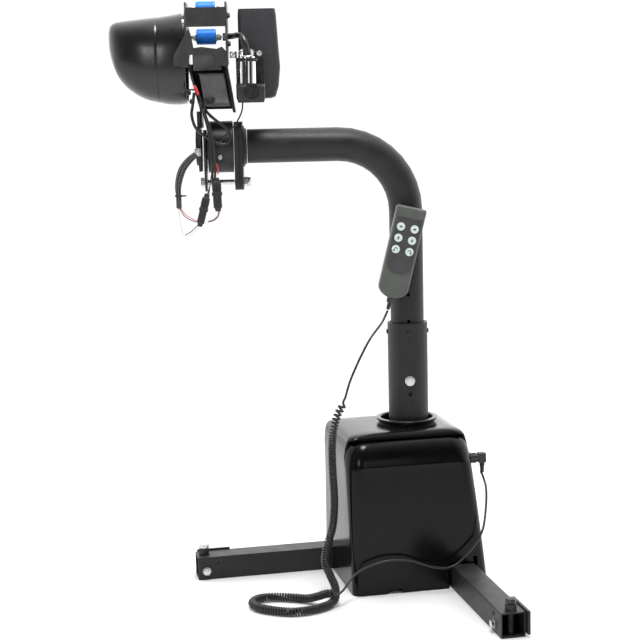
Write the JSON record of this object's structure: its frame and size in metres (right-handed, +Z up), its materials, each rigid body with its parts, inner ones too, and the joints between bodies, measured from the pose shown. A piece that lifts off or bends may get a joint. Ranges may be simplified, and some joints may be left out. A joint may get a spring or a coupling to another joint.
{
  "type": "powered pedestal arm with roller head",
  "caption": "Powered floor pedestal with an L-shaped tube base, turning post, bent arm, tilting roller head and a wired six-key handset on a coiled cord.",
  "frame": {"origin": "on the floor, under the axis of the turning post", "axes": "+Z up along the post; the arm reaches along -X at rest; +Y is away from the side the handset faces"},
  "size_m": [0.7119, 0.53, 1.0975],
  "materials": {
    "powder_coat": "satin black powder coat",
    "zinc": "bright zinc plate",
    "casting": "black oxide casting",
    "gloss_cover": "gloss black moulding",
    "black_plastic": "fine-textured black plastic",
    "cord_jacket": "black cord jacket",
    "grey_sheet": "grey coated sheet",
    "chrome": "bright chrome",
    "blue_urethane": "blue urethane",
    "handset_shell": "olive grey moulding",
    "keypad_overlay": "dark overlay",
    "key_silicone": "pale silicone"
  },
  "bodies": {
    "base": {"leg_left": "powder_coat", "leg_front": "powder_coat", "frame_cross": "powder_coat", "tip_strip_left": "powder_coat", "tip_strip_front": "powder_coat", "levelling_bolt_left": "zinc", "levelling_bolt_front": "zinc", "base_plate": "powder_coat", "slew_housing": "casting", "rotate_motor": "casting", "control_box": "black_plastic", "cover_shell": "gloss_cover", "cover_front": "gloss_cover", "collar_ring": "black_plastic", "panel_socket": "black_plastic", "cord_plug": "black_plastic", "cord_coil": "cord_jacket", "cord_lead_base": "cord_jacket"},
    "post": {"turntable": "casting", "sleeve_post": "powder_coat", "height_bolt": "zinc"},
    "mast": {"mast_tube": "powder_coat", "arm_flange": "powder_coat", "head_mount": "powder_coat", "tilt_drum": "casting", "cage_plate": "powder_coat", "cage_bolt": "zinc", "handset_clip": "black_plastic", "handset_back": "handset_shell", "handset_front": "handset_shell", "keypad_panel": "keypad_overlay", "strain_relief": "cord_jacket", "cord_lead_top": "cord_jacket"},
    "head": {"tilt_plate": "powder_coat", "neck_channel": "powder_coat", "neck_cover": "grey_sheet", "bay_side_left": "grey_sheet", "bay_side_right": "grey_sheet", "bay_front_plate": "powder_coat", "saddle_bracket": "grey_sheet", "chrome_tube": "chrome", "tube_clamp": "casting", "actuator_block": "casting", "slab_cover": "black_plastic", "cowl_dome": "black_plastic", "cowl_body": "black_plastic", "drive_motor": "casting", "harness_drop": "black_plastic", "harness_loop": "cord_jacket", "harness_sleeve": "cord_jacket"},
    "nip": {"bent_rod": "casting"},
    "lower_roller": {"lower_roller": "blue_urethane"},
    "upper_roller": {"upper_roller": "blue_urethane"},
    "key_retract": {"key_retract": "key_silicone"},
    "key_extend": {"key_extend": "key_silicone"},
    "key_up": {"key_up": "key_silicone"},
    "key_down": {"key_down": "key_silicone"},
    "key_rotate_left": {"key_rotate_left": "key_silicone"},
    "key_rotate_right": {"key_rotate_right": "key_silicone"}
  },
  "joints": [
    {"name": "post_rotate", "type": "hinge", "parent": "base", "child": "post", "pos_m": [0, 0, 0.1], "axis": [0, 0, 1], "range_deg": [-15, 110]},
    {"name": "mast_height", "type": "slide", "parent": "post", "child": "mast", "axis": [0, 0, 1], "range_m": [-0.038, 0.076]},
    {"name": "head_tilt", "type": "hinge", "parent": "mast", "child": "head", "pos_m": [-0.345, 0, 0.83], "axis": [1, 0, 0], "range_deg": [-35, 35]},
    {"name": "nip_lift", "type": "slide", "parent": "head", "child": "nip", "axis": [0, 0, 1], "range_m": [0, 0.02]},
    {"name": "lower_roller_spin", "type": "hinge", "parent": "nip", "child": "lower_roller", "pos_m": [-0.366, 0, 1.033], "axis": [1, 0, 0], "continuous": true},
    {"name": "upper_roller_spin", "type": "hinge", "parent": "head", "child": "upper_roller", "pos_m": [-0.366, 0, 1.083], "axis": [1, 0, 0], "continuous": true},
    {"name": "press_retract", "type": "slide", "parent": "mast", "child": "key_retract", "axis": [0, 1, 0], "range_m": [0, 0.0015], "stiffness_N_per_m": 400},
    {"name": "press_extend", "type": "slide", "parent": "mast", "child": "key_extend", "axis": [0, 1, 0], "range_m": [0, 0.0015], "stiffness_N_per_m": 400},
    {"name": "press_up", "type": "slide", "parent": "mast", "child": "key_up", "axis": [0, 1, 0], "range_m": [0, 0.0015], "stiffness_N_per_m": 400},
    {"name": "press_down", "type": "slide", "parent": "mast", "child": "key_down", "axis": [0, 1, 0], "range_m": [0, 0.0015], "stiffness_N_per_m": 400},
    {"name": "press_rotate_left", "type": "slide", "parent": "mast", "child": "key_rotate_left", "axis": [0, 1, 0], "range_m": [0, 0.0015], "stiffness_N_per_m": 400},
    {"name": "press_rotate_right", "type": "slide", "parent": "mast", "child": "key_rotate_right", "axis": [0, 1, 0], "range_m": [0, 0.0015], "stiffness_N_per_m": 400}
  ]
}
